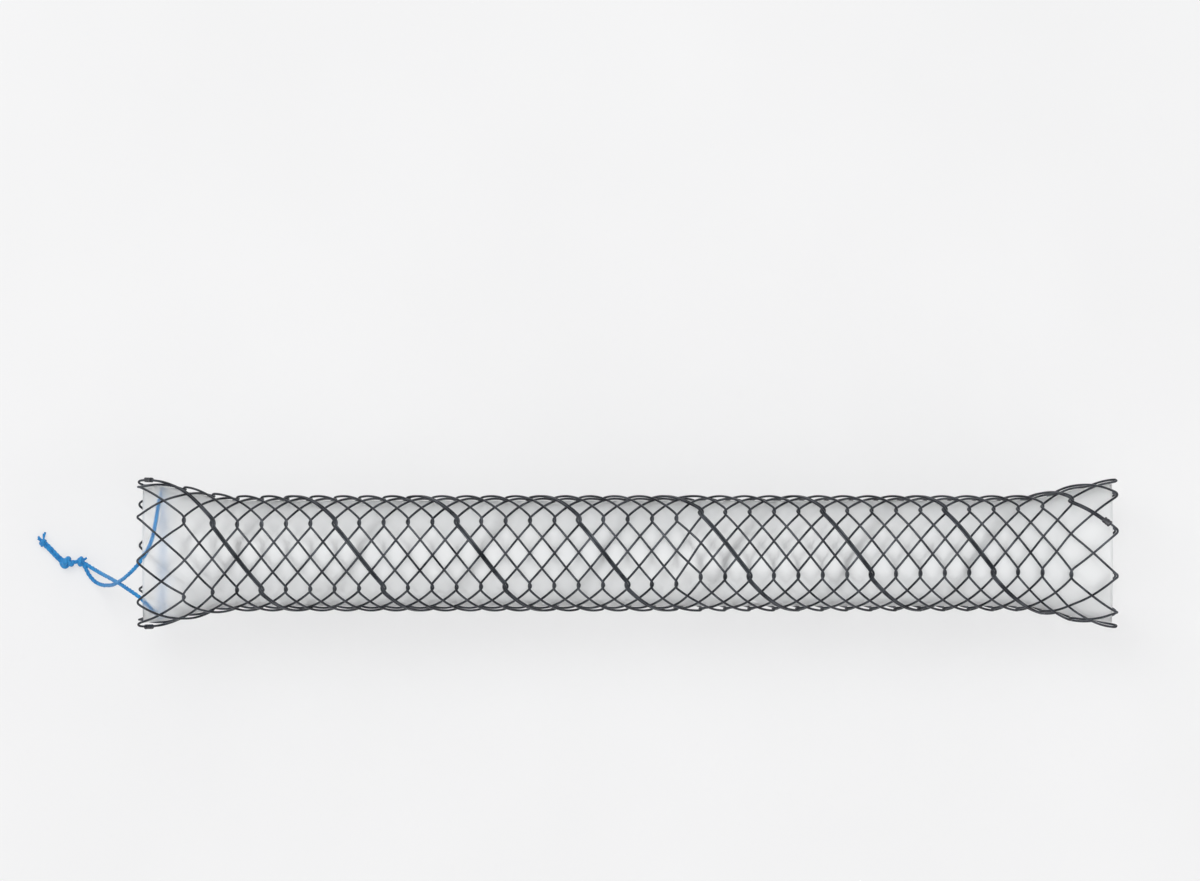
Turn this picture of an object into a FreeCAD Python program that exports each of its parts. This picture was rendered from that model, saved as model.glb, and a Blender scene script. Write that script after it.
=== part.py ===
import FreeCAD, Part
import math
import os

import Sketcher

# Covered biliary stent, lying on its two flared mouths.
# +X runs along the stent towards the mouth without the lasso, +Z is up, and the
# origin is under the middle of the stent on the surface that it lies on.
# The braid is two long wires. Each is bent back at every hook row, so that a bend
# hooks into a bend of the same wire, and it crosses the other wire between the rows.
# Azimuth is measured round the stent from the top, towards -Y.

Vector = FreeCAD.Vector

SIZES = (
    ("stent_length", 70.0, "crown to crown"),
    ("body_across", 8.4, "over the wires of the body"),
    ("mouth_across", 10.8, "over the wires of a mouth"),
    ("flare_length", 7.4, "from a mouth to the body"),
    ("wire_across", 0.2, "circle round the three corners of a wire"),
    ("layer_gap", 0.23, "between the centre lines of wires that cross"),
    ("hooks_per_row", 37, "hooks along the stent in one hook row"),
    ("crown_pair", 3.3, "from a crown to the first hook column"),
    ("flare_pair", 2.05, "from the first hook column to the second"),
    ("hook_half_angle", 3.0, "half the turn that a hook takes up"),
    ("hook_spread", 0.12, "from a hook's middle to either of its bends"),
    ("doubled_spread", 0.22, "the same where a doubled wire runs through"),
    ("pair_offset", 0.34, "along the stent, between two doubled wires"),
    ("crown_half_angle", 2.6, "half the turn that a crown takes up"),
    ("crown_tip_angle", 1.0, "half the turn of a crown's blunt tip"),
    ("end_angle", 4.6, "from a crown to the cut end of a wire"),
    ("lay_angle", -30.0, "azimuth of the first hook row"),
    ("twist_angle", -16.0, "turn of the braid from mouth to mouth"),
    ("slip_angle", -8.0, "extra turn where the braid has slipped"),
    ("slip_column", 42, "column where the slip begins"),
    ("cover_wall", 0.08, "silicone film"),
    ("cover_clearance", 0.075, "between the film and the inner wires"),
    ("cover_setback", 0.35, "from a crown's tip to the film's edge"),
    ("cover_lag", 0.7, "from the start of the wires' flare to the start of the cover's"),
    ("cover_knee_share", 0.53, "share of the cover's flare opened halfway along it"),
    ("crimp_length", 0.6, "sleeve over a cut wire end"),
    ("crimp_wall", 0.07, "wall of that sleeve"),
    ("crimp_play", 0.06, "round the two wires in it"),
    ("crimp_place", 7.6, "angle from the crown to the sleeve's middle"),
    ("crimp_edge", 0.1, "bevel of a flattened sleeve's edges"),
    ("thread_across", 0.36, "lasso thread"),
    ("first_knot_across", 0.74, "knot that closes the loop"),
    ("first_knot_length", 0.6, "along the lasso"),
    ("second_knot_across", 0.94, "stopper knot"),
    ("second_knot_length", 0.84, "along the lasso"),
    ("end_knot_across", 0.8, "knot at the cut ends"),
    ("end_knot_length", 0.66, "along the lasso"),
    ("tail_across", 0.46, "the two threads between the last knots"),
    ("knot_seat", 0.02, "between a knot and the thread that enters it"),
)

HOOK_ROWS = 5
ROW_ANGLE = 360.0 / (4 * HOOK_ROWS)
FACET_ANGLES = 3
WIRE_SIDES = 3
THREAD_SIDES = 6
KNOT_SIDES = 10

doc = FreeCAD.newDocument("biliary_stent")
sheet = doc.addObject("Spreadsheet::Sheet", "sizes")
for number, (alias, value, note) in enumerate(SIZES, start=1):
    sheet.set(f"A{number}", note)
    sheet.set(f"B{number}", str(value))
    sheet.setAlias(f"B{number}", alias)
doc.recompute()

COLUMNS = 2 * (int(sheet.hooks_per_row) + 1)
WIRE_RADIUS = sheet.wire_across / 2
HOOK_PITCH = (sheet.stent_length - 2 * (sheet.crown_pair + sheet.flare_pair)) / (COLUMNS / 2 - 4)


# Geometry of the braid

def along(column):
    """Distance from the middle of the stent to a column of the braid."""
    near = min(column, COLUMNS - column)
    if near < 2:
        distance = sheet.crown_pair * near / 2
    elif near < 4:
        distance = sheet.crown_pair + sheet.flare_pair * (near - 2) / 2
    else:
        distance = sheet.crown_pair + sheet.flare_pair + HOOK_PITCH * (near - 4) / 2
    offset = sheet.stent_length / 2 - distance
    return -offset if column < COLUMNS / 2 else offset


def over_radius(x):
    """Radius over the wires at x: a smooth flare at each mouth."""
    inward = min(sheet.stent_length / 2 - abs(x), sheet.flare_length)
    blend = 0.5 + 0.5 * math.cos(math.pi * max(inward, 0.0) / sheet.flare_length)
    return (sheet.body_across + blend * (sheet.mouth_across - sheet.body_across)) / 2


def twist(column):
    """Turn of the whole braid at a column."""
    slipped = min(max((column - sheet.slip_column) / 2, 0.0), 1.0)
    return sheet.lay_angle + sheet.twist_angle * column / COLUMNS + sheet.slip_angle * slipped


def station(angle, column, shift, depth):
    """A bend of a wire: braid angle, column, shift along X, and depth from 0, the outer layer, to 1."""
    x = along(column) + shift
    radius = over_radius(x) - WIRE_RADIUS - depth * sheet.layer_gap
    azimuth = math.radians(angle + twist(column))
    return Vector(x, -radius * math.sin(azimuth), radius * math.cos(azimuth))


def facet_angles(first, last):
    """Braid angles between first and last at which every wire bends round the stent."""
    hook_step = 4 * ROW_ANGLE
    half = sheet.hook_half_angle
    facet = (hook_step - 2 * half) / FACET_ANGLES
    row = math.floor(first / hook_step)
    grid = [
        (row + turn) * hook_step + half + facet * place
        for turn in range(3)
        for place in range(FACET_ANGLES + 1)
    ]
    return [angle for angle in grid if first + 0.5 < angle < last - 0.5]


def is_crown(column):
    return column in (0, COLUMNS)


def bend_reach(column):
    """Angle from a bend's middle at which its legs, run on, meet the column."""
    return sheet.crown_tip_angle if is_crown(column) else sheet.hook_half_angle


def margin(column):
    """Half the angle taken up by the bend at a column."""
    return sheet.crown_half_angle if is_crown(column) else sheet.hook_half_angle


def leg(rows, columns, margins, shifts, depth):
    """Stations of one straight leg of a wire, from one bend to the next."""
    first = rows[0] * ROW_ANGLE + bend_reach(columns[0])
    last = rows[1] * ROW_ANGLE - bend_reach(columns[1])
    start = rows[0] * ROW_ANGLE + margins[0]
    end = rows[1] * ROW_ANGLE - margins[1]
    points = []
    for angle in [start] + facet_angles(start, end) + [end]:
        part = (angle - first) / (last - first)
        column = columns[0] + part * (columns[1] - columns[0])
        shift = shifts[0] + part * (shifts[1] - shifts[0])
        points.append(station(angle, column, shift, depth))
    return points


def spread(column, doubled):
    """How far a bend stands from its column."""
    if is_crown(column):
        return 0.0
    return sheet.doubled_spread if doubled else sheet.hook_spread


def crown_tip(row, column, depths):
    """The two corners of a crown's blunt tip."""
    middle = row * ROW_ANGLE
    tip = sheet.crown_tip_angle
    step = (depths[1] - depths[0]) / 3
    return [
        station(middle - tip, column, 0.0, depths[0] + step),
        station(middle + tip, column, 0.0, depths[1] - step),
    ]


def travel_leg(start_row, left, right, from_end=False):
    """The length of wire that runs on beside the next course's own leg."""
    margins = (sheet.end_angle if from_end else margin(left), margin(right))
    shifts = (sheet.pair_offset - spread(left, True), spread(right, True))
    return leg((start_row + left, start_row + right), (left, right), margins, shifts, 0.0)


def course(start_row, left, right, is_last):
    """One zigzag course between two columns, hooked to its neighbours at both."""
    steps = right - left
    row = start_row + right
    points = []
    for number in range(HOOK_ROWS):
        starts = number == 0
        closes = number == HOOK_ROWS - 1
        if is_crown(right):
            points += crown_tip(row, right, (0.0, 1.0))
        points += leg(
            (row, row + steps),
            (right, left),
            (margin(right), margin(left)),
            (spread(right, starts), -spread(left, closes)),
            1.0,
        )
        if is_crown(left):
            points += crown_tip(row + steps, left, (1.0, 0.0))
        arrival = spread(right, False)
        end_margin = margin(right)
        if closes:
            arrival = spread(right, True) - sheet.pair_offset
            end_margin = sheet.end_angle if is_last else end_margin
        points += leg(
            (row + steps, row + 2 * steps),
            (left, right),
            (margin(left), end_margin),
            (-spread(left, closes), arrival),
            0.0,
        )
        row += 2 * steps
    return points


def braid_path(start_row, first_column):
    """Bends of one wire: a travel leg, then a whole course, all along the stent."""
    borders = [0] + list(range(first_column, COLUMNS, 4)) + [COLUMNS]
    points = []
    for left, right in zip(borders, borders[1:]):
        points += travel_leg(start_row, left, right, from_end=left == 0)
        points += course(start_row, left, right, is_last=right == COLUMNS)
    return points


# Building a wire of straight runs with mitred bends

def unit(vector):
    return vector / vector.Length


def mitred_wire(points, radius, sides):
    """A solid wire with flat sides, its corners carried along the runs from mitre to mitre."""
    runs = [unit(b - a) for a, b in zip(points, points[1:])]
    outward = Vector(0, points[0].y, points[0].z)
    across = unit(runs[0].cross(outward))
    up = across.cross(runs[0])
    ring = []
    for side in range(sides):
        angle = math.radians(90 + 360 * side / sides)
        ring.append(points[0] + across * (radius * math.cos(angle)) - up * (radius * math.sin(angle)))
    rings = [ring]
    for number, point in enumerate(points[1:], start=1):
        run = runs[number - 1]
        following = runs[min(number, len(runs) - 1)]
        mitre = run + following
        ring = [corner + run * ((point - corner).dot(mitre) / run.dot(mitre)) for corner in ring]
        rings.append(ring)
    faces = [Part.Face(Part.makePolygon(rings[0] + rings[0][:1]))]
    for near, far in zip(rings, rings[1:]):
        for side in range(sides):
            other = (side + 1) % sides
            corners = [near[side], near[other], far[other], far[side], near[side]]
            faces.append(Part.Face(Part.makePolygon(corners)))
    faces.append(Part.Face(Part.makePolygon(rings[-1] + rings[-1][:1])))
    solid = Part.Solid(Part.Shell(faces))
    if solid.Volume < 0:
        solid.reverse()
    return solid


pieces = []


def keep(piece, label):
    """Name a finished piece and list it for export."""
    piece.Label = label
    pieces.append(piece)
    return piece


def feature(label, shape, lift=0.0):
    piece = doc.addObject("Part::Feature", label)
    piece.Shape = shape
    piece.Placement.Base = Vector(0, 0, lift)
    return piece


# The two braid wires, by the row that each starts on and its first column of hooks

WIRES = {"braid_wire_a": (-4, 4), "braid_wire_b": (6, 2)}
braid = {
    label: mitred_wire(braid_path(*start), WIRE_RADIUS, WIRE_SIDES)
    for label, start in WIRES.items()
}
AXIS_HEIGHT = -min(solid.BoundBox.ZMin for solid in braid.values())
for label, solid in braid.items():
    keep(feature(label, solid, AXIS_HEIGHT), label)


# Silicone cover: half the thin flared tube, turned about the axis and mirrored

FACET_HALF = f"(({4 * ROW_ANGLE} - 2 * sizes.hook_half_angle) / {2 * FACET_ANGLES} * 1 deg)"


def film_expression(across):
    """Outer radius of the film under wires that measure across over their outsides."""
    centre_line = f"(sizes.{across} / 2 - sizes.wire_across / 2 - sizes.layer_gap)"
    return f"{centre_line} * cos{FACET_HALF} - sizes.wire_across / 2 - sizes.cover_clearance"


def film_radius(over):
    """The same, worked out from an outside radius."""
    facet_half = math.radians((4 * ROW_ANGLE - 2 * sheet.hook_half_angle) / (2 * FACET_ANGLES))
    return (over - WIRE_RADIUS - sheet.layer_gap) * math.cos(facet_half) - WIRE_RADIUS - sheet.cover_clearance


cover = doc.addObject("PartDesign::Body", "silicone_cover")
section = cover.newObject("Sketcher::SketchObject", "cover_section")
section.AttachmentSupport = [([f for f in cover.Origin.OriginFeatures if f.Role == "XZ_Plane"][0], "")]
section.MapMode = "FlatFace"

body_end = sheet.stent_length / 2 - sheet.flare_length + sheet.cover_lag
film_end = sheet.stent_length / 2 - sheet.cover_setback
body_film = film_radius(sheet.body_across / 2)
mouth_film = film_radius(sheet.mouth_across / 2)
knee_film = body_film + (mouth_film - body_film) * sheet.cover_knee_share
body_end_rule = "(sizes.stent_length / 2 - sizes.flare_length + sizes.cover_lag)"
film_end_rule = "(sizes.stent_length / 2 - sizes.cover_setback)"
body_rule = film_expression("body_across")
mouth_rule = film_expression("mouth_across")
knee_rule = f"{body_rule} + ({mouth_rule} - ({body_rule})) * sizes.cover_knee_share"
FILM_SIDE = (
    (0.0, body_film, None, body_rule),
    (body_end, body_film, body_end_rule, body_rule),
    ((body_end + film_end) / 2, knee_film, f"({body_end_rule} + {film_end_rule}) / 2", knee_rule),
    (film_end, mouth_film, film_end_rule, mouth_rule),
)


def bind(kind, line, end, rule, value):
    """A distance from the section's origin, bound to the sheet."""
    number = section.addConstraint(Sketcher.Constraint(kind, -1, 1, line, end, value))
    section.setExpression(f"Constraints[{number}]", rule)


inside = [(x, y - sheet.cover_wall, x_rule, f"{rule} - sizes.cover_wall") for x, y, x_rule, rule in FILM_SIDE]
outline = list(FILM_SIDE) + inside[::-1]
corners = [Vector(x, y, 0) for x, y, _, _ in outline]
for start, end in zip(corners, corners[1:] + corners[:1]):
    section.addGeometry(Part.LineSegment(start, end))
for line, (x, y, x_rule, y_rule) in enumerate(outline):
    section.addConstraint(Sketcher.Constraint("Coincident", line - 1 if line else len(outline) - 1, 2, line, 1))
    if x_rule is None:
        section.addConstraint(Sketcher.Constraint("PointOnObject", line, 1, -2))
    else:
        bind("DistanceX", line, 1, x_rule, x)
    bind("DistanceY", line, 1, y_rule, y)
doc.recompute()
half_film = cover.newObject("PartDesign::Revolution", "half_film")
half_film.Profile = section
half_film.ReferenceAxis = (section, ["H_Axis"])
half_film.Angle = 360
doc.recompute()
film = cover.newObject("PartDesign::Mirrored", "film")
film.Originals = [half_film]
film.MirrorPlane = ([f for f in cover.Origin.OriginFeatures if f.Role == "YZ_Plane"][0], [""])
cover.Tip = film
cover.Placement.Base = Vector(0, 0, AXIS_HEIGHT)
keep(cover, "silicone_cover")
doc.recompute()


# Crimped sleeves over the cut wire ends, one by each wire's first and last crown

def crimp(label, row, left_end):
    """A flattened tube over the two wires beside a crown, on a run that starts there."""
    column = 0 if left_end else COLUMNS
    inward = 1 if left_end else -1
    middle = row * ROW_ANGLE
    first = sheet.crown_tip_angle
    steps = 4 if row % 4 == 0 else 2
    last = steps * ROW_ANGLE - sheet.hook_half_angle

    def pair(angle):
        part = (angle - first) / (last - first)
        at = column + inward * part * steps
        shift = inward * part * -sheet.doubled_spread
        ends = [shift, shift + inward * sheet.pair_offset]
        return [station(middle + inward * angle, at, end, 0.0) for end in ends]

    side = inward * sheet.crown_half_angle
    reach = sorted((middle + side, middle + inward * 2 * ROW_ANGLE))
    bends = [abs(angle - middle) for angle in facet_angles(*reach)]
    near_angle = sheet.crown_half_angle
    far_angle = min(bends)
    near = pair(near_angle)
    far = pair(far_angle)
    run = unit(far[0] + far[1] - near[0] - near[1])
    beside = near[1] - near[0]
    flat = unit(beside - run * beside.dot(run))
    outward = run.cross(flat)
    share = (sheet.crimp_place - near_angle) / (far_angle - near_angle)
    centre = (near[0] + near[1]) / 2 * (1 - share) + (far[0] + far[1]) / 2 * share
    gap = (beside - run * beside.dot(run)).Length
    outer = doc.addObject("Part::Box", label + "_outside")
    inner = doc.addObject("Part::Box", label + "_hole")
    for box, extra in ((outer, " + 2 * sizes.crimp_wall"), (inner, "")):
        wide = f"{gap:.4f} + sizes.wire_across + 2 * sizes.crimp_play{extra}"
        high = f"sizes.wire_across + 2 * sizes.crimp_play{extra}"
        box.setExpression("Length", "sizes.crimp_length")
        box.setExpression("Width", wide)
        box.setExpression("Height", high)
    doc.recompute()
    turn = FreeCAD.Rotation(run, flat, outward, "ZXY")
    for box in (outer, inner):
        corner = Vector(box.Length.Value, box.Width.Value, box.Height.Value) / 2
        box.Placement = FreeCAD.Placement(centre + Vector(0, 0, AXIS_HEIGHT) - turn.multVec(corner), turn)
    doc.recompute()
    long_edges = [
        number
        for number, edge in enumerate(outer.Shape.Edges, start=1)
        if abs(unit(edge.Vertexes[1].Point - edge.Vertexes[0].Point).dot(run)) > 0.99
    ]
    bevelled = doc.addObject("Part::Chamfer", label + "_bevelled")
    bevelled.Base = outer
    bevelled.Edges = [(number, sheet.crimp_edge, sheet.crimp_edge) for number in long_edges]
    sleeve = doc.addObject("Part::Cut", label)
    sleeve.Base = bevelled
    sleeve.Tool = inner
    return keep(sleeve, label)


first_a, first_b = (start[0] for start in WIRES.values())
crimp("crimp_sleeve_1", first_a, True)
crimp("crimp_sleeve_2", first_b, True)
crimp("crimp_sleeve_3", first_a + COLUMNS, False)
crimp("crimp_sleeve_4", first_b + COLUMNS, False)


# Lasso thread: out of the stopper knot, round the inside of the mouth and back
# Route points in X, Y and height, chosen by hand

LASSO_ROUTE = (
    (-38.88, -1.08, 0.42),
    (-38.62, -1.62, 0.36),
    (-38.15, -2.12, 0.72),
    (-37.56, -2.33, 1.80),
    (-36.97, -2.30, 4.00),
    (-36.44, -2.10, 6.70),
    (-35.79, -1.62, 8.80),
    (-35.11, -0.97, 9.72),
    (-34.43, -0.10, 9.78),
    (-33.93, 1.00, 9.56),
    (-33.68, 2.30, 8.95),
    (-33.50, 3.52, 7.70),
    (-33.35, 4.18, 5.55),
    (-33.30, 3.60, 3.12),
    (-33.30, 1.70, 1.45),
    (-33.30, -0.91, 1.18),
    (-33.35, -3.15, 2.50),
    (-33.40, -4.18, 4.75),
    (-33.75, -4.10, 6.60),
    (-34.20, -3.69, 7.70),
    (-34.80, -3.18, 8.30),
    (-35.60, -2.62, 8.12),
    (-36.25, -2.20, 7.10),
    (-36.80, -1.92, 5.30),
    (-37.25, -1.70, 3.30),
    (-37.70, -1.48, 1.70),
    (-38.20, -1.20, 0.72),
    (-38.76, -0.86, 0.44),
)
ARC_SHARE = 0.45
KNOT_BEVEL = 0.3
Z = Vector(0, 0, 1)


def rounded_route(corners):
    """Straight runs joined by tangent arcs, each as large as its two runs allow."""
    points = [Vector(*corner) for corner in corners]
    edges = []
    here = points[0]
    radii = []
    for before, point, after in zip(points, points[1:], points[2:]):
        back = unit(before - point)
        on = unit(after - point)
        tangent = ARC_SHARE * min((before - point).Length, (after - point).Length)
        start = point + back * tangent
        end = point + on * tangent
        half_turn = (math.pi - back.getAngle(on)) / 2
        radius = tangent / math.tan(half_turn)
        radii.append(round(radius, 2))
        reach = math.sqrt(tangent**2 + radius**2) - radius
        edges.append(Part.LineSegment(here, start).toShape())
        edges.append(Part.Arc(start, point + unit(back + on) * reach, end).toShape())
        here = end
    edges.append(Part.LineSegment(here, points[-1]).toShape())
    return Part.Wire(edges), radii


route, bend_radii = rounded_route(LASSO_ROUTE)
print(f"lasso loop: {route.Length:.1f} long, bend radii {bend_radii}")
lasso_path = feature("lasso_path", route)
lasso_round = doc.addObject("Part::RegularPolygon", "lasso_section")
lasso_round.Polygon = THREAD_SIDES
lasso_round.setExpression("Circumradius", "sizes.thread_across / 2")
lasso_start = Vector(*LASSO_ROUTE[0])
lasso_heading = unit(Vector(*LASSO_ROUTE[1]) - lasso_start)
lasso_round.Placement = FreeCAD.Placement(lasso_start, FreeCAD.Rotation(Z, lasso_heading))
loop = doc.addObject("Part::Sweep", "lasso_loop")
loop.Sections = [lasso_round]
loop.Spine = (lasso_path, [f"Edge{number + 1}" for number in range(len(route.Edges))])
loop.Solid = True
loop.Frenet = False
keep(loop, "lasso_loop")


# Knots of the lasso, lying in line beside the mouth

def barrel(label, across, length, centre, heading):
    """A knot as a short many-sided barrel along the lasso."""
    core = doc.addObject("Part::Prism", label + "_core")
    core.Polygon = KNOT_SIDES
    core.setExpression("Circumradius", f"sizes.{across} / 2")
    core.setExpression("Height", f"sizes.{length}")
    doc.recompute()
    rim_edges = [
        number
        for number, edge in enumerate(core.Shape.Edges, start=1)
        if abs(edge.Vertexes[0].Point.z - edge.Vertexes[1].Point.z) < 1e-6
    ]
    knot = doc.addObject("Part::Chamfer", label)
    knot.Base = core
    bevel = core.Circumradius.Value * KNOT_BEVEL
    knot.Edges = [(number, bevel, bevel) for number in rim_edges]
    direction = unit(heading)
    knot.Placement = FreeCAD.Placement(
        centre - direction * (core.Height.Value / 2), FreeCAD.Rotation(Z, direction)
    )
    return keep(knot, label)


def strand(label, across, start, end):
    """A straight stretch of thread between two knots."""
    piece = doc.addObject("Part::Prism", label)
    piece.Polygon = THREAD_SIDES
    piece.setExpression("Circumradius", f"sizes.{across} / 2")
    piece.Height = (end - start).Length
    piece.Placement = FreeCAD.Placement(start, FreeCAD.Rotation(Z, unit(end - start)))
    return keep(piece, label)


FIRST_KNOT = Vector(-39.22, -0.68, sheet.first_knot_across / 2)
SECOND_KNOT = Vector(-40.24, -0.72, sheet.second_knot_across / 2)
END_KNOT = Vector(-41.98, 0.72, sheet.end_knot_across / 2)
first_heading = Vector(SECOND_KNOT.x - FIRST_KNOT.x, SECOND_KNOT.y - FIRST_KNOT.y, 0)
tail_heading = Vector(END_KNOT.x - SECOND_KNOT.x, END_KNOT.y - SECOND_KNOT.y, 0)
second_heading = unit(first_heading) * 2 + unit(tail_heading)
barrel("lasso_knot_first", "first_knot_across", "first_knot_length", FIRST_KNOT, first_heading)
barrel("lasso_knot_second", "second_knot_across", "second_knot_length", SECOND_KNOT, second_heading)
barrel("lasso_knot_end", "end_knot_across", "end_knot_length", END_KNOT, tail_heading)


def knot_to_knot(near, near_heading, near_length, far, far_heading, far_length, across):
    """Ends of a strand between two knots' end faces, clear of both faces where it leaves at a slant."""
    start = near + unit(near_heading) * (near_length / 2)
    end = far - unit(far_heading) * (far_length / 2)
    run = unit(end - start)
    near_slant = math.tan(run.getAngle(near_heading)) * across / 2
    far_slant = math.tan(run.getAngle(far_heading)) * across / 2
    return start + run * (near_slant + sheet.knot_seat), end - run * (far_slant + sheet.knot_seat)


link_ends = knot_to_knot(
    FIRST_KNOT, first_heading, sheet.first_knot_length,
    SECOND_KNOT, second_heading, sheet.second_knot_length, sheet.thread_across,
)
strand("lasso_link", "thread_across", *link_ends)
tail_ends = knot_to_knot(
    SECOND_KNOT, second_heading, sheet.second_knot_length,
    END_KNOT, tail_heading, sheet.end_knot_length, sheet.tail_across,
)
strand("lasso_tail", "tail_across", *tail_ends)


# Check and export

doc.recompute()
for item in doc.Objects:
    if "Invalid" in item.State or "Error" in item.State:
        raise RuntimeError(f"{item.Label} failed to build")
for piece in pieces:
    if piece.Shape.isNull() or not piece.Shape.isValid():
        raise RuntimeError(f"{piece.Label} has no valid shape")
os.makedirs("parts", exist_ok=True)
for piece in pieces:
    piece.Shape.exportStep(f"parts/{piece.Label}.step")
    box = piece.Shape.BoundBox
    print(f"{piece.Label}: {len(piece.Shape.Solids)} solid, {piece.Shape.Volume:.3f} mm3, z {box.ZMin:.3f}")
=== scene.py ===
import math

import bpy
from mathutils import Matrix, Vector


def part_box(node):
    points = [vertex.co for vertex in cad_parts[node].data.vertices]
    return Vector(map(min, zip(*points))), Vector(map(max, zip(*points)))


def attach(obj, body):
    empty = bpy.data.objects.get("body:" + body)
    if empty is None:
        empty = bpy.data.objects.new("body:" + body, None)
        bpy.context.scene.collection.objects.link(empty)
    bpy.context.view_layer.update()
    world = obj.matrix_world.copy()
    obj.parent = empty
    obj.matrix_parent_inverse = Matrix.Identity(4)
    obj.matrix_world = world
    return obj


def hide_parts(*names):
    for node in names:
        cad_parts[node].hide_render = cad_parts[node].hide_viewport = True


# The looks of a covered biliary stent, seen from straight above.
# Lengths are in millimetres up to the point where a mesh or curve is made.

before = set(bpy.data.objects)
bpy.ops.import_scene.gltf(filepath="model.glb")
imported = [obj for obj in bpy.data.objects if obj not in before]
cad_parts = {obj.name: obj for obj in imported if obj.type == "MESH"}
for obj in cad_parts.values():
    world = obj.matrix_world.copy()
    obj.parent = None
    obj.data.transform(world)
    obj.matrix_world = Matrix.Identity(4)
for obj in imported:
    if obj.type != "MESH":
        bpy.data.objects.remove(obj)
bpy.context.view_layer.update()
MM = 0.001

# The photograph: 1200 by 881 pixels, with the stent's middle at this pixel

PHOTO_SIZE = (1200, 881)
PIXELS_PER_MM = 13.97
STENT_MIDDLE_PIXEL = (627.5, 553.3)

# Light and camera, in metres and watts, with the sensor in millimetres. The eye sees the floor
# as plain background by this share, and the world has one strength as a light and one as seen.

BACKGROUND_SHARE = 0.6
WORLD_LIGHT = 0.62
WORLD_SEEN = 0.9
FLOOR_SIZE = 1.2
LAMPS = {
    "key": {"place": (-0.18, 0.22, 0.42), "size": 0.30, "power": 0.9},
    "fill": {"place": (0.30, -0.16, 0.36), "size": 0.36, "power": 0.35},
}
CAMERA_DISTANCE = 2.0
CAMERA_SENSOR = 36
CAMERA_NEAREST = 0.01

# Driving dimensions of the braid. The round wires lie closer together than the solids' wires,
# which are three-cornered and keep more clearance.

STENT_LENGTH = 70.0
BODY_ACROSS = 8.4
MOUTH_ACROSS = 10.8
FLARE_LENGTH = 7.4
CORNER_WIRE = 0.2
ROUND_WIRE = 0.168
LAYER_GAP = 0.185
HOOKS_PER_ROW = 37
CROWN_PAIR = 3.3
FLARE_PAIR = 2.05
HOOK_HALF_ANGLE = 3.0
HOOK_SPREAD = 0.075
DOUBLED_SPREAD = 0.15
PAIR_OFFSET = 0.205
CROWN_HALF_ANGLE = 2.6
CROWN_TIP_ANGLE = 1.0
END_ANGLE = 4.6
LAY_ANGLE = -30.0
TWIST_ANGLE = -16.0
SLIP_ANGLE = -8.0
SLIP_COLUMN = 42
HOOK_ROWS = 5
ROW_ANGLE = 360 / (4 * HOOK_ROWS)
LEG_STEP = 7.0
COLUMNS = 2 * (HOOKS_PER_ROW + 1)
HOOK_PITCH = (STENT_LENGTH - 2 * (CROWN_PAIR + FLARE_PAIR)) / (COLUMNS / 2 - 4)
WIRE_RESOLUTION = 5
WIRE_SIDES = 2

# Each wire's first row, and the column of its first hooks

WIRES = {"braid_wire_a": (-4, 4), "braid_wire_b": (6, 2)}

# The axis lies as high as the lowest wire needs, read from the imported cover

cover_low, cover_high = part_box("silicone_cover")
AXIS_HEIGHT = (cover_low[2] + cover_high[2]) / 2 / MM


# Materials: noise over each piece varies its colour, its gloss and its bump

NOISE_DETAIL = 3.0
RAMP_ENDS = (0.3, 0.7)


def new_material(name):
    material = bpy.data.materials.new(name)
    material.use_nodes = True
    nodes = material.node_tree.nodes
    return material, nodes, material.node_tree.links, nodes["Principled BSDF"]


def noise_ramp(nodes, links, scale, low, high):
    """Noise over the object, as a colour between low and high."""
    place = nodes.new("ShaderNodeTexCoord")
    noise = nodes.new("ShaderNodeTexNoise")
    noise.inputs["Scale"].default_value = scale
    noise.inputs["Detail"].default_value = NOISE_DETAIL
    ramp = nodes.new("ShaderNodeValToRGB")
    for element, position, colour in zip(ramp.color_ramp.elements, RAMP_ENDS, (low, high)):
        element.position = position
        element.color = (*colour, 1)
    links.new(place.outputs["Object"], noise.inputs["Vector"])
    links.new(noise.outputs["Fac"], ramp.inputs["Fac"])
    return noise, ramp


def add_bump(nodes, links, shader, height, strength, distance):
    bump = nodes.new("ShaderNodeBump")
    bump.inputs["Strength"].default_value = strength
    bump.inputs["Distance"].default_value = distance
    links.new(height, bump.inputs["Height"])
    links.new(bump.outputs["Normal"], shader.inputs["Normal"])


def wire_material():
    """Drawn nickel-titanium: blue-grey, bright where the oxide is thin."""
    material, nodes, links, shader = new_material("nitinol_wire")
    noise, ramp = noise_ramp(nodes, links, 900, (0.022, 0.024, 0.029), (0.095, 0.102, 0.115))
    links.new(ramp.outputs["Color"], shader.inputs["Base Color"])
    shader.inputs["Metallic"].default_value = 0.85
    rough = nodes.new("ShaderNodeMapRange")
    rough.inputs["To Min"].default_value = 0.24
    rough.inputs["To Max"].default_value = 0.4
    links.new(noise.outputs["Fac"], rough.inputs["Value"])
    links.new(rough.outputs["Result"], shader.inputs["Roughness"])
    add_bump(nodes, links, shader, noise.outputs["Fac"], 0.15, 0.00001)
    return material


def film_material():
    """Clear silicone with a faintly matt skin: what touches it shows, what lies behind it blurs."""
    material, nodes, links, shader = new_material("silicone_film")
    noise, ramp = noise_ramp(nodes, links, 260, (0.955, 0.965, 0.97), (0.985, 0.99, 0.99))
    links.new(ramp.outputs["Color"], shader.inputs["Base Color"])
    shader.inputs["Transmission Weight"].default_value = 0.97
    shader.inputs["Alpha"].default_value = 0.78
    shader.inputs["Roughness"].default_value = 0.42
    shader.inputs["IOR"].default_value = 1.16
    add_bump(nodes, links, shader, noise.outputs["Fac"], 0.2, 0.00003)
    return material


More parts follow.
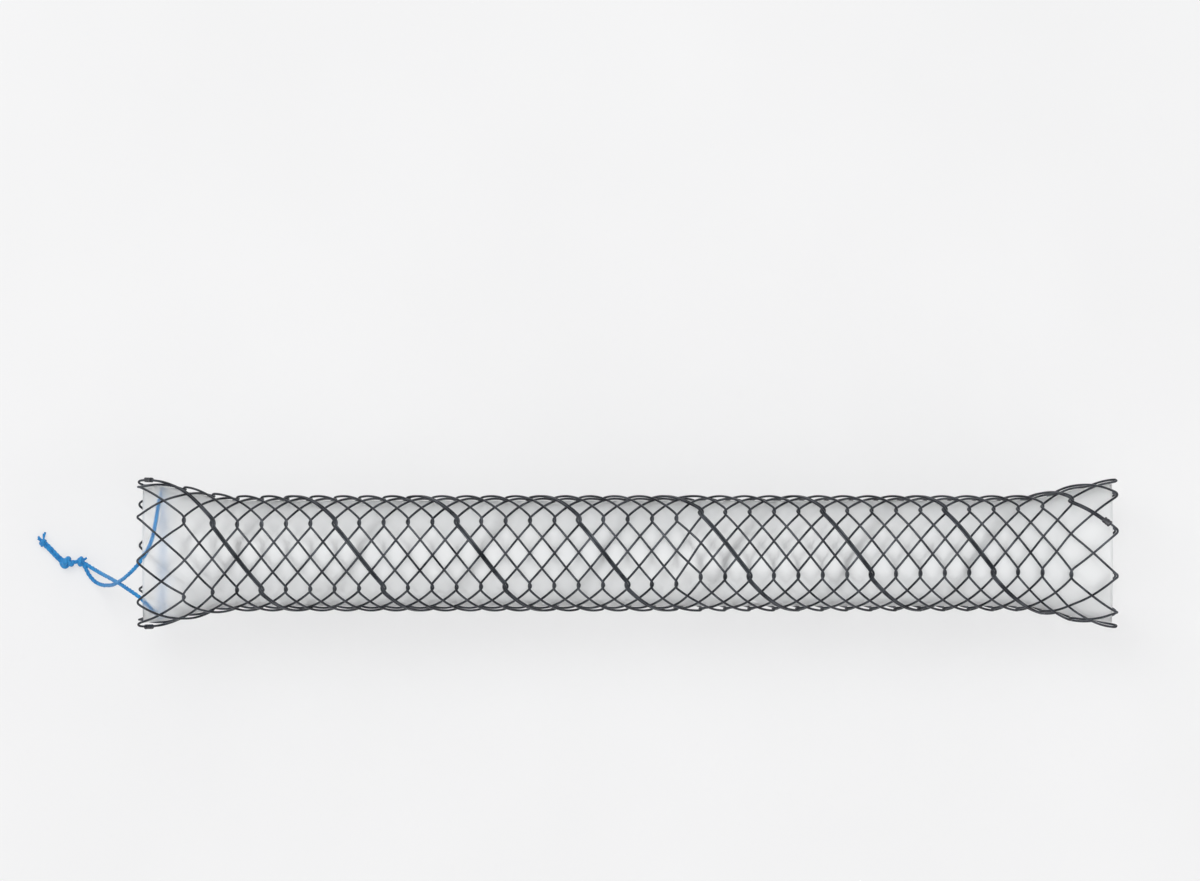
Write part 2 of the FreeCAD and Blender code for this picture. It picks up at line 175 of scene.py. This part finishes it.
def crimp_material():
    """Dark, dull crimped metal with bright rubbed patches."""
    material, nodes, links, shader = new_material("crimped_sleeve")
    noise, ramp = noise_ramp(nodes, links, 3000, (0.035, 0.037, 0.042), (0.12, 0.12, 0.13))
    links.new(ramp.outputs["Color"], shader.inputs["Base Color"])
    shader.inputs["Metallic"].default_value = 0.8
    shader.inputs["Roughness"].default_value = 0.42
    add_bump(nodes, links, shader, noise.outputs["Fac"], 0.4, 0.00002)
    return material


def thread_material():
    """Blue braided suture, lighter on the filaments' crowns."""
    material, nodes, links, shader = new_material("blue_suture")
    noise, ramp = noise_ramp(nodes, links, 5200, (0.001, 0.16, 0.46), (0.02, 0.32, 0.70))
    links.new(ramp.outputs["Color"], shader.inputs["Base Color"])
    shader.inputs["Roughness"].default_value = 0.55
    shader.inputs["Sheen Weight"].default_value = 0.12
    add_bump(nodes, links, shader, noise.outputs["Fac"], 0.6, 0.00003)
    return material


def background_share(nodes, links, by_eye):
    """How far a ray sees plain background: by this share by eye, wholly in gloss or through the film."""
    rays = nodes.new("ShaderNodeLightPath")
    direct = nodes.new("ShaderNodeMath")
    direct.operation = "MULTIPLY"
    direct.inputs[1].default_value = by_eye
    links.new(rays.outputs["Is Camera Ray"], direct.inputs[0])
    share = direct.outputs["Value"]
    for kind in ("Is Glossy Ray", "Is Transmission Ray"):
        either = nodes.new("ShaderNodeMath")
        either.operation = "MAXIMUM"
        links.new(share, either.inputs[0])
        links.new(rays.outputs[kind], either.inputs[1])
        share = either.outputs["Value"]
    return share


def floor_material():
    """A pale floor: part of it is plain background, seen by eye, in gloss and through the film."""
    material, nodes, links, shader = new_material("pale_floor")
    noise, ramp = noise_ramp(nodes, links, 40, (0.90, 0.90, 0.905), (0.925, 0.925, 0.93))
    links.new(ramp.outputs["Color"], shader.inputs["Base Color"])
    shader.inputs["Roughness"].default_value = 0.9
    share = background_share(nodes, links, BACKGROUND_SHARE)
    plain = nodes.new("ShaderNodeEmission")
    links.new(ramp.outputs["Color"], plain.inputs["Color"])
    mix = nodes.new("ShaderNodeMixShader")
    links.new(share, mix.inputs["Fac"])
    links.new(shader.outputs["BSDF"], mix.inputs[1])
    links.new(plain.outputs["Emission"], mix.inputs[2])
    links.new(mix.outputs["Shader"], nodes["Material Output"].inputs["Surface"])
    return material


WIRE = wire_material()
FILM = film_material()
CRIMP = crimp_material()
THREAD = thread_material()
FLOOR = floor_material()


def wear(piece, material):
    piece.data.materials.clear()
    piece.data.materials.append(material)


# The braid: round wires along the same courses as the solids

def along(column):
    near = min(column, COLUMNS - column)
    if near < 2:
        distance = CROWN_PAIR * near / 2
    elif near < 4:
        distance = CROWN_PAIR + FLARE_PAIR * (near - 2) / 2
    else:
        distance = CROWN_PAIR + FLARE_PAIR + HOOK_PITCH * (near - 4) / 2
    offset = STENT_LENGTH / 2 - distance
    return -offset if column < COLUMNS / 2 else offset


def over_radius(x):
    inward = min(STENT_LENGTH / 2 - abs(x), FLARE_LENGTH)
    blend = 0.5 + 0.5 * math.cos(math.pi * max(inward, 0.0) / FLARE_LENGTH)
    return (BODY_ACROSS + blend * (MOUTH_ACROSS - BODY_ACROSS)) / 2


def twist(column):
    slipped = min(max((column - SLIP_COLUMN) / 2, 0.0), 1.0)
    return LAY_ANGLE + TWIST_ANGLE * column / COLUMNS + SLIP_ANGLE * slipped


def station(angle, column, shift, depth):
    """A point of a wire, from its braid angle, column, shift along X and depth into the braid."""
    x = along(column) + shift
    radius = over_radius(x) - CORNER_WIRE / 2 - depth * LAYER_GAP
    azimuth = math.radians(angle + twist(column))
    return Vector((x, -radius * math.sin(azimuth), AXIS_HEIGHT + radius * math.cos(azimuth)))


def is_crown(column):
    return column in (0, COLUMNS)


def bend_reach(column):
    return CROWN_TIP_ANGLE if is_crown(column) else HOOK_HALF_ANGLE


def margin(column):
    return CROWN_HALF_ANGLE if is_crown(column) else HOOK_HALF_ANGLE


def spread(column, doubled):
    if is_crown(column):
        return 0.0
    return DOUBLED_SPREAD if doubled else HOOK_SPREAD


def leg(rows, columns, margins, shifts, depth):
    """Points of one straight leg, from one bend to the next."""
    first = rows[0] * ROW_ANGLE + bend_reach(columns[0])
    last = rows[1] * ROW_ANGLE - bend_reach(columns[1])
    start = rows[0] * ROW_ANGLE + margins[0]
    end = rows[1] * ROW_ANGLE - margins[1]
    steps = max(2, round((end - start) / LEG_STEP))
    points = []
    for number in range(steps + 1):
        angle = start + (end - start) * number / steps
        part = (angle - first) / (last - first)
        column = columns[0] + part * (columns[1] - columns[0])
        shift = shifts[0] + part * (shifts[1] - shifts[0])
        points.append(station(angle, column, shift, depth))
    return points


def crown_tip(row, column, depths):
    middle = row * ROW_ANGLE
    step = (depths[1] - depths[0]) / 3
    return [
        station(middle - CROWN_TIP_ANGLE, column, 0.0, depths[0] + step),
        station(middle + CROWN_TIP_ANGLE, column, 0.0, depths[1] - step),
    ]


def travel_leg(start_row, left, right):
    margins = (END_ANGLE if left == 0 else margin(left), margin(right))
    shifts = (PAIR_OFFSET - spread(left, True), spread(right, True))
    return leg((start_row + left, start_row + right), (left, right), margins, shifts, 0.0)


def course(start_row, left, right):
    """One zigzag round the stent between two columns."""
    steps = right - left
    row = start_row + right
    points = []
    for number in range(HOOK_ROWS):
        starts = number == 0
        closes = number == HOOK_ROWS - 1
        if is_crown(right):
            points += crown_tip(row, right, (0.0, 1.0))
        inner_shifts = (spread(right, starts), -spread(left, closes))
        points += leg((row, row + steps), (right, left), (margin(right), margin(left)), inner_shifts, 1.0)
        if is_crown(left):
            points += crown_tip(row + steps, left, (1.0, 0.0))
        arrival = spread(right, False)
        end_margin = margin(right)
        if closes:
            arrival = spread(right, True) - PAIR_OFFSET
            end_margin = END_ANGLE if is_crown(right) else end_margin
        outer_shifts = (-spread(left, closes), arrival)
        rows = (row + steps, row + 2 * steps)
        points += leg(rows, (left, right), (margin(left), end_margin), outer_shifts, 0.0)
        row += 2 * steps
    return points


def braid_path(start_row, first_column):
    borders = [0] + list(range(first_column, COLUMNS, 4)) + [COLUMNS]
    points = []
    for left, right in zip(borders, borders[1:]):
        points += travel_leg(start_row, left, right)
        points += course(start_row, left, right)
    return points


def spline_curve(name, points, across, resolution, sides=0):
    """A smooth open NURBS curve on these points in millimetres, bevelled to a round section."""
    curve = bpy.data.curves.new(name, "CURVE")
    curve.dimensions = "3D"
    curve.resolution_u = resolution
    curve.bevel_depth = across / 2 * MM
    curve.bevel_resolution = sides
    curve.use_fill_caps = True
    spline = curve.splines.new("NURBS")
    spline.points.add(len(points) - 1)
    for control, point in zip(spline.points, points):
        control.co = (*(Vector(point) * MM), 1)
    spline.order_u = 3
    spline.use_endpoint_u = True
    piece = bpy.data.objects.new(name, curve)
    bpy.context.collection.objects.link(piece)
    return piece


def mesh_piece(name, verts, faces, material, slot="lasso_thread"):
    mesh = bpy.data.meshes.new(name)
    mesh.from_pydata([tuple(vert) for vert in verts], [], faces)
    mesh.polygons.foreach_set("use_smooth", [True] * len(mesh.polygons))
    mesh.update()
    piece = bpy.data.objects.new(name, mesh)
    bpy.context.collection.objects.link(piece)
    wear(piece, material)
    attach(piece, "root")
    return piece


def make_braid():
    for node, start in WIRES.items():
        wire = spline_curve(node + "_round", braid_path(*start), ROUND_WIRE, WIRE_RESOLUTION, WIRE_SIDES)
        wear(wire, WIRE)
        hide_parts(node)
        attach(wire, "root")


# The cover: a film that clings to the inner wires and sinks a little between them

FILM_WALL = 0.08
FILM_SETBACK = 0.35
FILM_CLEARANCE = 0.04
FILM_DEPTH = CORNER_WIRE / 2 + LAYER_GAP + ROUND_WIRE / 2 + FILM_CLEARANCE
FILM_SINK = 0.06
FILM_RINGS = 312
FILM_CORNERS = 120


def column_at(x):
    """The braid's column, with its fraction, at a place along the stent."""
    distance = STENT_LENGTH / 2 - abs(x)
    if distance < CROWN_PAIR:
        near = 2 * distance / CROWN_PAIR
    elif distance < CROWN_PAIR + FLARE_PAIR:
        near = 2 + 2 * (distance - CROWN_PAIR) / FLARE_PAIR
    else:
        near = 4 + 2 * (distance - CROWN_PAIR - FLARE_PAIR) / HOOK_PITCH
    return near if x < 0 else COLUMNS - near


def film_radius(x, azimuth):
    """Outer radius of the film: highest under the legs, lowest in the middle of a cell."""
    column = column_at(x)
    row = (math.degrees(azimuth) - twist(column)) / ROW_ANGLE
    one_way = math.sin(math.pi * (row - column) / 2)
    other_way = math.sin(math.pi * (row + column) / 2)
    return over_radius(x) - FILM_DEPTH - FILM_SINK * abs(one_way * other_way)


def make_film():
    end = STENT_LENGTH / 2 - FILM_SETBACK
    verts = []
    faces = []
    shells = ((0.0, 1), (FILM_WALL, -1))
    for wall, _ in shells:
        for ring in range(FILM_RINGS + 1):
            x = -end + 2 * end * ring / FILM_RINGS
            for corner in range(FILM_CORNERS):
                azimuth = 2 * math.pi * corner / FILM_CORNERS
                radius = film_radius(x, azimuth) - wall
                side = -radius * math.sin(azimuth)
                verts.append(Vector((x, side, AXIS_HEIGHT + radius * math.cos(azimuth))) * MM)
    shell_size = (FILM_RINGS + 1) * FILM_CORNERS
    for shell, (_, way) in enumerate(shells):
        for ring in range(FILM_RINGS):
            low = shell * shell_size + ring * FILM_CORNERS
            for corner in range(FILM_CORNERS):
                other = (corner + 1) % FILM_CORNERS
                face = (low + corner, low + other, low + FILM_CORNERS + other, low + FILM_CORNERS + corner)
                faces.append(face[::way])
    for start, way in ((0, -1), (FILM_RINGS * FILM_CORNERS, 1)):
        for corner in range(FILM_CORNERS):
            other = (corner + 1) % FILM_CORNERS
            rim = (start + corner, start + other, start + shell_size + other, start + shell_size + corner)
            faces.append(rim[::way])
    film = mesh_piece("silicone_film", verts, faces, FILM, "cover_film")
    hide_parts("silicone_cover")


# The sleeves: short flattened tubes, pressed in twice, over a wire's end and the wire beside it

SLEEVE_LENGTH = 0.6
SLEEVE_WALL = 0.085
SLEEVE_PLACE = 7.6
SLEEVE_CORNERS = 28
SLEEVE_SLICES = (
    (-0.50, 0.78), (-0.49, 0.92), (-0.46, 1.00), (-0.32, 1.00), (-0.26, 0.86), (-0.14, 0.86), (-0.08, 1.00),
    (0.08, 1.00), (0.14, 0.86), (0.26, 0.86), (0.32, 1.00), (0.46, 1.00), (0.49, 0.92), (0.50, 0.78),
)


def doubled_pair(row, steps, left_end, angle):
    """The centres of the two wires that run side by side from a mouth, at an angle past its crown."""
    column = 0 if left_end else COLUMNS
    inward = 1 if left_end else -1
    last = steps * ROW_ANGLE - HOOK_HALF_ANGLE
    part = (angle - CROWN_TIP_ANGLE) / (last - CROWN_TIP_ANGLE)
    shift = inward * part * -DOUBLED_SPREAD
    place = (row * ROW_ANGLE + inward * angle, column + inward * part * steps)
    return [station(*place, end, 0.0) for end in (shift, shift + inward * PAIR_OFFSET)]


def sleeve(number, row, steps, left_end):
    """A pressed tube round the two wires that run from a crown's row to a hook some columns in."""
    here = doubled_pair(row, steps, left_end, SLEEVE_PLACE)
    further = doubled_pair(row, steps, left_end, SLEEVE_PLACE + 1)
    centre = (here[0] + here[1]) / 2
    run = ((further[0] + further[1]) / 2 - centre).normalized()
    beside = here[1] - here[0]
    beside -= run * beside.dot(run)
    flat = beside.normalized()
    outward = run.cross(flat)
    round_radius = ROUND_WIRE / 2 + SLEEVE_WALL
    verts = []
    faces = []
    for along_share, swell in SLEEVE_SLICES:
        for corner in range(SLEEVE_CORNERS):
            angle = 2 * math.pi * (corner + 0.5) / SLEEVE_CORNERS
            half = beside.length / 2 * (1 if math.cos(angle) > 0 else -1)
            offset = flat * (half + round_radius * math.cos(angle) * swell)
            offset += outward * (round_radius * math.sin(angle) * swell)
            verts.append((centre + run * (along_share * SLEEVE_LENGTH) + offset) * MM)
    for low in range(0, (len(SLEEVE_SLICES) - 1) * SLEEVE_CORNERS, SLEEVE_CORNERS):
        high = low + SLEEVE_CORNERS
        for corner in range(SLEEVE_CORNERS):
            other = (corner + 1) % SLEEVE_CORNERS
            faces.append((low + corner, low + other, high + other, high + corner))
    faces.append(tuple(reversed(range(SLEEVE_CORNERS))))
    faces.append(tuple(range(len(verts) - SLEEVE_CORNERS, len(verts))))
    node = f"crimp_sleeve_{number}"
    piece = mesh_piece(node + "_pressed", verts, faces, CRIMP, "crimp_metal")
    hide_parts(node)


def make_sleeves():
    for number, (row, steps) in enumerate(WIRES.values(), start=1):
        sleeve(number, row, steps, True)
        sleeve(number + len(WIRES), row + COLUMNS, steps, False)


# The lasso: the route is the solid tube's, run on into the first knot and laid nearer to the film

LASSO_ROUTE = (
    (-39.04, -0.80, 0.40),
    (-38.88, -1.08, 0.42),
    (-38.62, -1.62, 0.36),
    (-38.15, -2.12, 0.72),
    (-37.56, -2.33, 1.80),
    (-36.97, -2.30, 4.00),
    (-36.44, -2.10, 6.70),
    (-35.79, -1.62, 8.80),
    (-35.11, -0.97, 9.72),
    (-34.43, -0.10, 9.78),
    (-33.93, 1.04, 9.74),
    (-33.68, 2.42, 9.13),
    (-33.50, 3.72, 7.84),
    (-33.35, 4.46, 5.57),
    (-33.30, 3.82, 2.99),
    (-33.30, 1.80, 1.22),
    (-33.30, -0.96, 0.95),
    (-33.35, -3.34, 2.33),
    (-33.40, -4.43, 4.72),
    (-33.75, -4.29, 6.66),
    (-34.20, -3.81, 7.78),
    (-34.80, -3.18, 8.30),
    (-35.60, -2.62, 8.12),
    (-36.25, -2.20, 7.10),
    (-36.80, -1.92, 5.30),
    (-37.25, -1.70, 3.30),
    (-37.70, -1.48, 1.70),
    (-38.20, -1.20, 0.72),
    (-38.76, -0.86, 0.44),
    (-39.06, -0.68, 0.42),
)
THREAD_ACROSS = 0.31
FIRST_KNOT = Vector((-39.22, -0.61, 0.38))
SECOND_KNOT = Vector((-40.23, -0.68, 0.46))
END_KNOT = Vector((-41.94, 0.76, 0.36))
FIRST_KNOT_SIZE = {"length": 0.58, "across": 0.74, "thread": 0.32}
SECOND_KNOT_SIZE = {"length": 1.12, "across": 0.88, "thread": 0.38}
END_KNOT_SIZE = {"length": 0.50, "across": 0.58, "thread": 0.26}
KNOT_STEPS = 96
KNOT_SIDES = 14
KNOT_RIPPLE = 2.4
KNOT_CORE_PLACES = (-0.27, -0.15, 0.15, 0.27)
KNOT_CORE_SIDES = 10
KNOT_CORE_RADIUS = 0.3
NIB_TIP = Vector((-38.80, -0.34, 0.50))
NIB_ACROSS = 0.24
TAIL_ROUTE = (
    (-40.55, -0.58, 0.42),
    (-40.92, -0.26, 0.36),
    (-41.34, 0.20, 0.34),
    (-41.74, 0.60, 0.34),
    (-41.94, 0.76, 0.36),
)
TAIL_THREAD = 0.24
TAIL_OFFSET = 0.42 * TAIL_THREAD
FRAYED_TIPS = (
    (Vector((-41.82, 1.50, 0.30)), 0.15, 0.30),
    (Vector((-42.32, 1.16, 0.40)), 0.24, 0.34),
    (Vector((-42.05, 0.46, 0.26)), 0.22, 0.26),
)
STRANDS = 3
STRAND_SHARE = 0.56
STRAND_SIDES = 8
STRAND_LAY = 0.9
FILAMENTS = 9
FILAMENT_ACROSS = 0.1
FILAMENT_STEPS = 8
FILAMENT_SIDES = 6
FILAMENT_SHORTER = 0.16
FILAMENT_WAVE = 0.02
FILAMENT_WAVE_TURN = 5
GOLDEN_ANGLE = 2.39996
LINE_RESOLUTION = 8


def route_points(name, points):
    """Points of the smooth line through a route, and its length, in metres."""
    curve = spline_curve(name + "_line", points, 0.0, LINE_RESOLUTION)
    graph = bpy.context.evaluated_depsgraph_get()
    mesh = bpy.data.meshes.new_from_object(curve.evaluated_get(graph))
    line = [vertex.co.copy() for vertex in mesh.vertices]
    bpy.data.meshes.remove(mesh)
    data = curve.data
    bpy.data.objects.remove(curve)
    bpy.data.curves.remove(data)
    length = sum((b - a).length for a, b in zip(line, line[1:]))
    return line, length


def frames_along(line):
    """A smoothly carried pair of normals at each point of a line."""
    tangent = (line[1] - line[0]).normalized()
    side = tangent.orthogonal().normalized()
    frames = []
    for number, point in enumerate(line):
        before = line[max(number - 1, 0)]
        after = line[min(number + 1, len(line) - 1)]
        following = (after - before).normalized()
        side = tangent.rotation_difference(following) @ side
        side = (side - following * side.dot(following)).normalized()
        tangent = following
        frames.append((point, side, following.cross(side)))
    return frames


def tube_into(verts, faces, line, radius, sides):
    """Adds a closed tube along a line of points in metres to a mesh being built."""
    base = len(verts)
    for point, side, up in frames_along(line):
        for corner in range(sides):
            angle = 2 * math.pi * corner / sides
            verts.append(point + side * (radius * math.cos(angle)) + up * (radius * math.sin(angle)))
    for ring in range(len(line) - 1):
        for corner in range(sides):
            other = (corner + 1) % sides
            low = base + ring * sides
            high = low + sides
            faces.append((low + corner, low + other, high + other, high + corner))
    last = base + (len(line) - 1) * sides
    faces.append(tuple(base + corner for corner in reversed(range(sides))))
    faces.append(tuple(last + corner for corner in range(sides)))


def twisted_thread(line, across):
    """Laid strands that fill a round thread of this diameter, as tubes round the line."""
    strand_across = across * STRAND_SHARE
    orbit = (across - strand_across) / 2 * MM
    travelled = 0.0
    tracks = [[] for _ in range(STRANDS)]
    frames = frames_along(line)
    for number, (point, side, up) in enumerate(frames):
        if number:
            travelled += (point - frames[number - 1][0]).length
        for strand, track in enumerate(tracks):
            angle = 2 * math.pi * (travelled / (STRAND_LAY * MM) + strand / STRANDS)
            track.append(point + side * (orbit * math.cos(angle)) + up * (orbit * math.sin(angle)))
    verts = []
    faces = []
    for track in tracks:
        tube_into(verts, faces, track, strand_across / 2 * MM, STRAND_SIDES)
    return verts, faces


def knot_track(centre, ahead, length, across, thread):
    """A tight overhand knot's line, a trefoil squeezed into a barrel of this length and diameter."""
    side = ahead.orthogonal().normalized()
    up = ahead.cross(side)
    wide = (across - thread) / 2 / 3
    long = (length - thread) / 2 / 3
    line = []
    for number in range(KNOT_STEPS + 1):
        t = 2 * math.pi * number / KNOT_STEPS
        x = math.sin(t) + 2 * math.sin(2 * t)
        y = math.cos(t) - 2 * math.cos(2 * t)
        z = -math.sin(3 * t)
        line.append((centre + ahead * (x * long) + side * (y * wide) + up * (z * wide * KNOT_RIPPLE)) * MM)
    return line


def knot(node, centre, heading, length, across, thread):
    """A tied thread round a core of thread, in place of a knot's plain barrel."""
    ahead = heading.normalized()
    verts = []
    faces = []
    track = knot_track(centre, ahead, length, across, thread)
    tube_into(verts, faces, track, thread / 2 * MM, KNOT_SIDES)
    core = [(centre + ahead * (length * share)) * MM for share in KNOT_CORE_PLACES]
    tube_into(verts, faces, core, across * KNOT_CORE_RADIUS * MM, KNOT_CORE_SIDES)
    piece = mesh_piece(node + "_tied", verts, faces, THREAD)
    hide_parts(node)
    return piece


def tuft(verts, faces, root, tip, root_across, tip_across):
    """A cut end of the thread: its filaments fan out from root to tip."""
    ahead = (tip - root).normalized()
    side = ahead.orthogonal().normalized()
    up = ahead.cross(side)
    for number in range(FILAMENTS):
        angle = GOLDEN_ANGLE * number
        reach = math.sqrt((number + 0.5) / FILAMENTS) / 2
        outward = side * (reach * math.cos(angle)) + up * (reach * math.sin(angle))
        length = 1 - FILAMENT_SHORTER * (number % 3)
        line = []
        for step in range(FILAMENT_STEPS + 1):
            share = length * step / FILAMENT_STEPS
            width = root_across + (tip_across - root_across) * share ** 2 - FILAMENT_ACROSS
            wave = up * (FILAMENT_WAVE * math.sin(FILAMENT_WAVE_TURN * share + number))
            line.append((root.lerp(tip, share) + outward * width + wave) * MM)
        tube_into(verts, faces, line, FILAMENT_ACROSS / 2 * MM, FILAMENT_SIDES)


def frayed_ends():
    """The three ends past the last knot, and the short nib at the first."""
    verts = []
    faces = []
    for tip, root_across, tip_across in FRAYED_TIPS:
        tuft(verts, faces, END_KNOT, tip, root_across, tip_across)
    tuft(verts, faces, FIRST_KNOT, NIB_TIP, NIB_ACROSS, NIB_ACROSS)
    return mesh_piece("lasso_cut_ends", verts, faces, THREAD)


def doubled_tail():
    """Both ends of the thread, drawn flat side by side from the second knot to the last."""
    verts = []
    faces = []
    line, _ = route_points("tail", TAIL_ROUTE)
    for lean in (-1, 1):
        track = []
        for number, point in enumerate(line):
            before = line[max(number - 1, 0)]
            after = line[min(number + 1, len(line) - 1)]
            across = (after - before).cross(Vector((0, 0, 1))).normalized()
            track.append(point + across * (lean * TAIL_OFFSET * MM))
        more_verts, more_faces = twisted_thread(track, TAIL_THREAD)
        base = len(verts)
        verts += more_verts
        faces += [tuple(corner + base for corner in face) for face in more_faces]
    return mesh_piece("lasso_tail_strands", verts, faces, THREAD)


def make_lasso():
    line, length = route_points("lasso", LASSO_ROUTE)
    verts, faces = twisted_thread(line, THREAD_ACROSS)
    loop = mesh_piece("lasso_thread_loop", verts, faces, THREAD)
    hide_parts("lasso_loop")
    link_heading = SECOND_KNOT - FIRST_KNOT
    tail_heading = END_KNOT - SECOND_KNOT
    first = knot("lasso_knot_first", FIRST_KNOT, link_heading, **FIRST_KNOT_SIZE)
    second = knot("lasso_knot_second", SECOND_KNOT, link_heading, **SECOND_KNOT_SIZE)
    last = knot("lasso_knot_end", END_KNOT, tail_heading, **END_KNOT_SIZE)
    link_line, _ = route_points("link", [FIRST_KNOT, FIRST_KNOT.lerp(SECOND_KNOT, 0.5), SECOND_KNOT])
    link = mesh_piece("lasso_link_strands", *twisted_thread(link_line, THREAD_ACROSS), THREAD)
    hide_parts("lasso_link")
    tail = doubled_tail()
    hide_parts("lasso_tail")
    frays = frayed_ends()


# Floor, light and camera

def make_stage():
    bpy.ops.mesh.primitive_plane_add(size=FLOOR_SIZE, location=(0, 0, 0))
    floor = bpy.context.object
    floor.name = "floor"
    wear(floor, FLOOR)
    world = bpy.data.worlds.new("studio")
    bpy.context.scene.world = world
    world.use_nodes = True
    nodes = world.node_tree.nodes
    links = world.node_tree.links
    background = nodes["Background"]
    background.inputs["Color"].default_value = (1, 1, 1, 1)
    share = background_share(nodes, links, 1.0)
    strength = nodes.new("ShaderNodeMapRange")
    strength.inputs["To Min"].default_value = WORLD_LIGHT
    strength.inputs["To Max"].default_value = WORLD_SEEN
    links.new(share, strength.inputs["Value"])
    links.new(strength.outputs["Result"], background.inputs["Strength"])
    for name, lamp_facts in LAMPS.items():
        data = bpy.data.lights.new(name, "AREA")
        data.size = lamp_facts["size"]
        data.energy = lamp_facts["power"]
        lamp = bpy.data.objects.new(name, data)
        lamp.location = lamp_facts["place"]
        lamp.rotation_euler = lamp.location.to_track_quat("Z", "Y").to_euler()
        bpy.context.collection.objects.link(lamp)


def make_camera():
    """Straight down, with the stent where the photograph has it."""
    data = bpy.data.cameras.new("camera")
    data.sensor_width = CAMERA_SENSOR
    data.clip_start = CAMERA_NEAREST
    span = PHOTO_SIZE[0] / PIXELS_PER_MM * MM
    data.lens = CAMERA_SENSOR * CAMERA_DISTANCE / span
    camera = bpy.data.objects.new("camera", data)
    x = (PHOTO_SIZE[0] / 2 - STENT_MIDDLE_PIXEL[0]) / PIXELS_PER_MM * MM
    y = (STENT_MIDDLE_PIXEL[1] - PHOTO_SIZE[1] / 2) / PIXELS_PER_MM * MM
    camera.location = (x, y, AXIS_HEIGHT * MM + CAMERA_DISTANCE)
    bpy.context.collection.objects.link(camera)
    bpy.context.scene.camera = camera


make_braid()
make_lasso()
make_film()
make_sleeves()
make_stage()
make_camera()
bpy.context.scene.view_settings.view_transform = "Standard"
